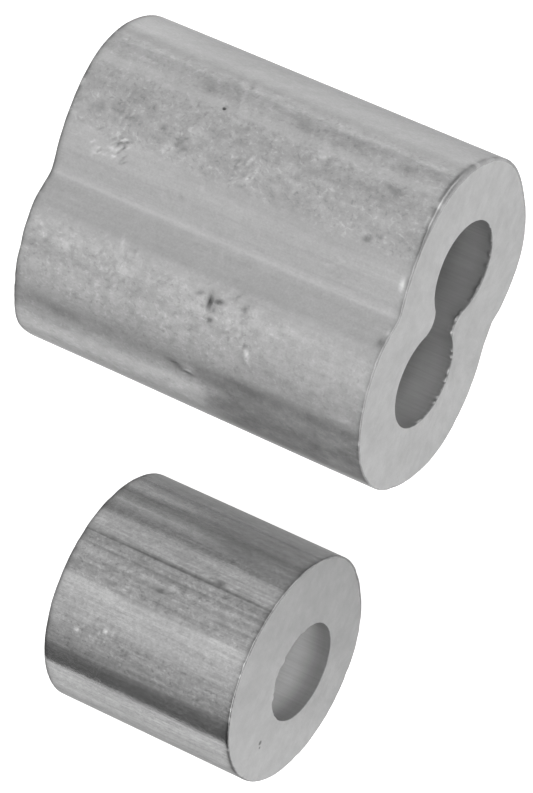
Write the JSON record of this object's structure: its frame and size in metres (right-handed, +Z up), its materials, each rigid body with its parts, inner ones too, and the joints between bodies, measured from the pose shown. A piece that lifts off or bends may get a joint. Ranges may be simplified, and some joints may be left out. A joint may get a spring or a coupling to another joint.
{
  "type": "wire rope ferrule and stop set",
  "caption": "Hourglass wire rope ferrule with a figure-eight bore, beside a short round stop sleeve; both are bare aluminium and are pressed on rope.",
  "frame": {"origin": "on the bench, under the middle of the pair's bounding box", "axes": "+Z up off the bench, Y along all the bores with the front ends towards -Y, +X from the stop to the ferrule"},
  "size_m": [0.0456, 0.0282, 0.0165],
  "materials": {
    "ferrule_aluminium": "satin, as extruded, with fine drawn lines along the bore's direction and sawn ends",
    "stop_aluminium": "brighter drawn surface with fine lines along the bore's direction, and sawn ends"
  },
  "bodies": {
    "ferrule": {"double_barrel_ferrule": "ferrule_aluminium"},
    "stop": {"stop_sleeve": "stop_aluminium"}
  },
  "joints": [
    {"name": "stop_lift", "type": "slide", "parent": "ferrule", "child": "stop", "axis": [0, 0, 1], "range_m": [0, 0.03]}
  ]
}
